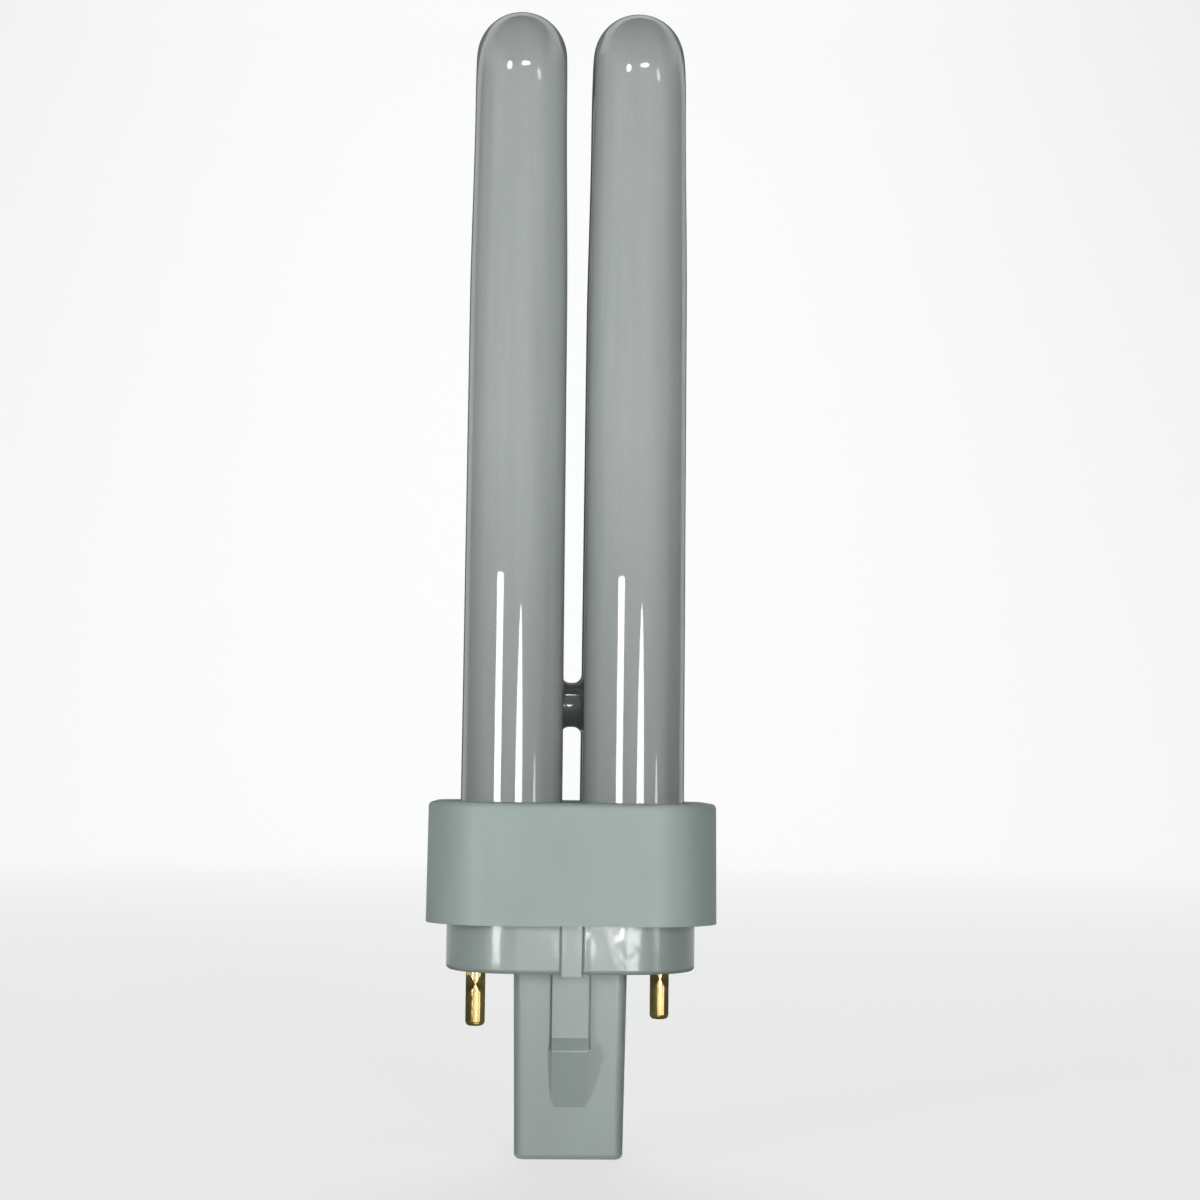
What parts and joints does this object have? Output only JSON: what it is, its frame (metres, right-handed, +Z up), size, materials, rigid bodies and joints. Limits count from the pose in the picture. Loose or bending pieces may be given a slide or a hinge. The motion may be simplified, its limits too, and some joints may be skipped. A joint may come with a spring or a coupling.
{
  "type": "compact fluorescent lamp",
  "caption": "Plug-in compact fluorescent lamp: U-bent glass tubes side by side in a square collar, over a latching plug with brass contact pins.",
  "frame": {"origin": "centre of the plug's flat end, on which the lamp stands", "axes": "+Z up the lamp, from the plug to the glass bends; -Y towards the front, with the near contact pin on the left; +X to the right"},
  "size_m": [0.0338, 0.0338, 0.138],
  "materials": {
    "coated_glass": "clear glass over a white powder coating inside",
    "collar_plastic": "satin white moulding",
    "base_plastic": "glossy white moulding",
    "pin_brass": "polished, with crimp marks",
    "cement": "set cement",
    "starter_glass": "small clear bottle",
    "capacitor_coating": "dipped resin",
    "wire": "bare drawn wire",
    "solder": "bright solder"
  },
  "bodies": {
    "root": {"discharge_tube": "coated_glass", "cap_collar": "collar_plastic", "cap_base": "base_plastic", "leg_cement": "cement", "starter_bottle": "starter_glass", "starter_capacitor": "capacitor_coating", "contact_pin_left": "pin_brass", "contact_pin_right": "pin_brass", "pin_wire_left": "wire", "pin_wire_right": "wire", "starter_wire_left": "wire", "starter_wire_right": "wire", "solder_joint_left": "solder", "solder_joint_right": "solder"}
  },
  "joints": []
}
